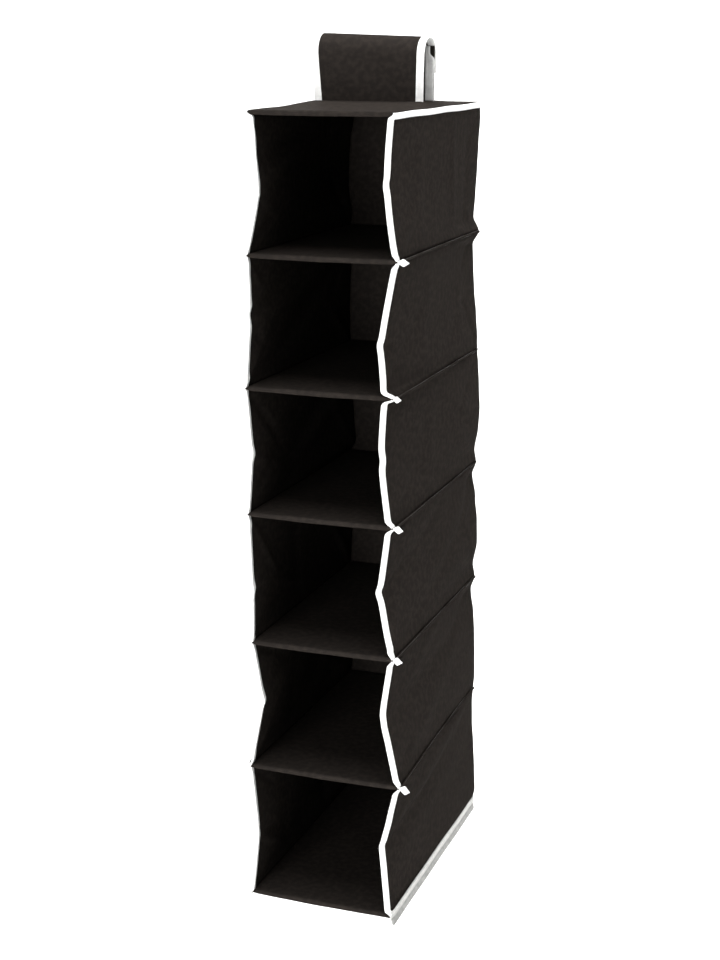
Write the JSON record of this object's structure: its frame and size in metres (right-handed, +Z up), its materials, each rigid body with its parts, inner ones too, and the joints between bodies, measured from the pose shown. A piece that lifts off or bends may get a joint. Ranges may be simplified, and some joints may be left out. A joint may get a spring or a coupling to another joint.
{
  "type": "hanging shoe organizer",
  "caption": "Hanging fabric shoe organizer: a narrow column of open-fronted shelves with bound edges, folding flat, under a wide hook-and-loop hanger for a closet rod.",
  "frame": {"origin": "inside of the hanger loop's crown, in the middle of its width, where the closet rod bears", "axes": "+Z up along the hanging column, -Y towards the open front of the compartments, +X to the right along the closet rod"},
  "size_m": [0.178, 0.305, 0.9426],
  "materials": {
    "nonwoven": "matte",
    "binding_tape": "matte",
    "shelf_board": "matte",
    "fastener_tape": "matte"
  },
  "bodies": {
    "top": {"top_cover": "nonwoven", "top_board": "shelf_board", "top_binding_left": "binding_tape", "top_binding_right": "binding_tape", "hanger_strap": "nonwoven", "strap_binding_left": "binding_tape", "strap_binding_right": "binding_tape", "hanger_stub": "nonwoven", "stub_binding_left": "binding_tape", "stub_binding_right": "binding_tape", "loop_tape": "fastener_tape", "left_wall_1": "nonwoven", "right_wall_1": "nonwoven", "back_wall_1": "nonwoven", "front_binding_left_1": "binding_tape", "front_binding_right_1": "binding_tape"},
    "shelf_1": {"shelf_1_sleeve": "nonwoven", "shelf_1_board": "shelf_board", "left_wall_2": "nonwoven", "right_wall_2": "nonwoven", "back_wall_2": "nonwoven", "front_binding_left_2": "binding_tape", "front_binding_right_2": "binding_tape"},
    "shelf_2": {"shelf_2_sleeve": "nonwoven", "shelf_2_board": "shelf_board", "left_wall_3": "nonwoven", "right_wall_3": "nonwoven", "back_wall_3": "nonwoven", "front_binding_left_3": "binding_tape", "front_binding_right_3": "binding_tape"},
    "shelf_3": {"shelf_3_sleeve": "nonwoven", "shelf_3_board": "shelf_board", "left_wall_4": "nonwoven", "right_wall_4": "nonwoven", "back_wall_4": "nonwoven", "front_binding_left_4": "binding_tape", "front_binding_right_4": "binding_tape"},
    "shelf_4": {"shelf_4_sleeve": "nonwoven", "shelf_4_board": "shelf_board", "left_wall_5": "nonwoven", "right_wall_5": "nonwoven", "back_wall_5": "nonwoven", "front_binding_left_5": "binding_tape", "front_binding_right_5": "binding_tape"},
    "shelf_5": {"shelf_5_sleeve": "nonwoven", "shelf_5_board": "shelf_board", "left_wall_6": "nonwoven", "right_wall_6": "nonwoven", "back_wall_6": "nonwoven", "front_binding_left_6": "binding_tape", "front_binding_right_6": "binding_tape"},
    "bottom": {"bottom_sleeve": "nonwoven", "bottom_board": "shelf_board", "bottom_binding_left": "binding_tape", "bottom_binding_right": "binding_tape"},
    "flap": {"hanger_flap": "nonwoven", "flap_binding_left": "binding_tape", "flap_binding_right": "binding_tape", "hook_tape": "fastener_tape"}
  },
  "joints": [
    {"name": "compartment_1_fold", "type": "slide", "parent": "top", "child": "shelf_1", "axis": [0, 0, 1], "range_m": [0, 0.135], "deforming": ["left_wall_1", "right_wall_1", "back_wall_1", "front_binding_left_1", "front_binding_right_1"]},
    {"name": "compartment_2_fold", "type": "slide", "parent": "shelf_1", "child": "shelf_2", "axis": [0, 0, 1], "range_m": [0, 0.128], "deforming": ["left_wall_2", "right_wall_2", "back_wall_2", "front_binding_left_2", "front_binding_right_2"]},
    {"name": "compartment_3_fold", "type": "slide", "parent": "shelf_2", "child": "shelf_3", "axis": [0, 0, 1], "range_m": [0, 0.124], "deforming": ["left_wall_3", "right_wall_3", "back_wall_3", "front_binding_left_3", "front_binding_right_3"]},
    {"name": "compartment_4_fold", "type": "slide", "parent": "shelf_3", "child": "shelf_4", "axis": [0, 0, 1], "range_m": [0, 0.13], "deforming": ["left_wall_4", "right_wall_4", "back_wall_4", "front_binding_left_4", "front_binding_right_4"]},
    {"name": "compartment_5_fold", "type": "slide", "parent": "shelf_4", "child": "shelf_5", "axis": [0, 0, 1], "range_m": [0, 0.129], "deforming": ["left_wall_5", "right_wall_5", "back_wall_5", "front_binding_left_5", "front_binding_right_5"]},
    {"name": "compartment_6_fold", "type": "slide", "parent": "shelf_5", "child": "bottom", "axis": [0, 0, 1], "range_m": [0, 0.135], "deforming": ["left_wall_6", "right_wall_6", "back_wall_6", "front_binding_left_6", "front_binding_right_6"]},
    {"name": "flap_peel", "type": "hinge", "parent": "top", "child": "flap", "pos_m": [0, 0.01591, -0.00459], "axis": [1, 0, 0], "range_deg": [0, 135]}
  ]
}
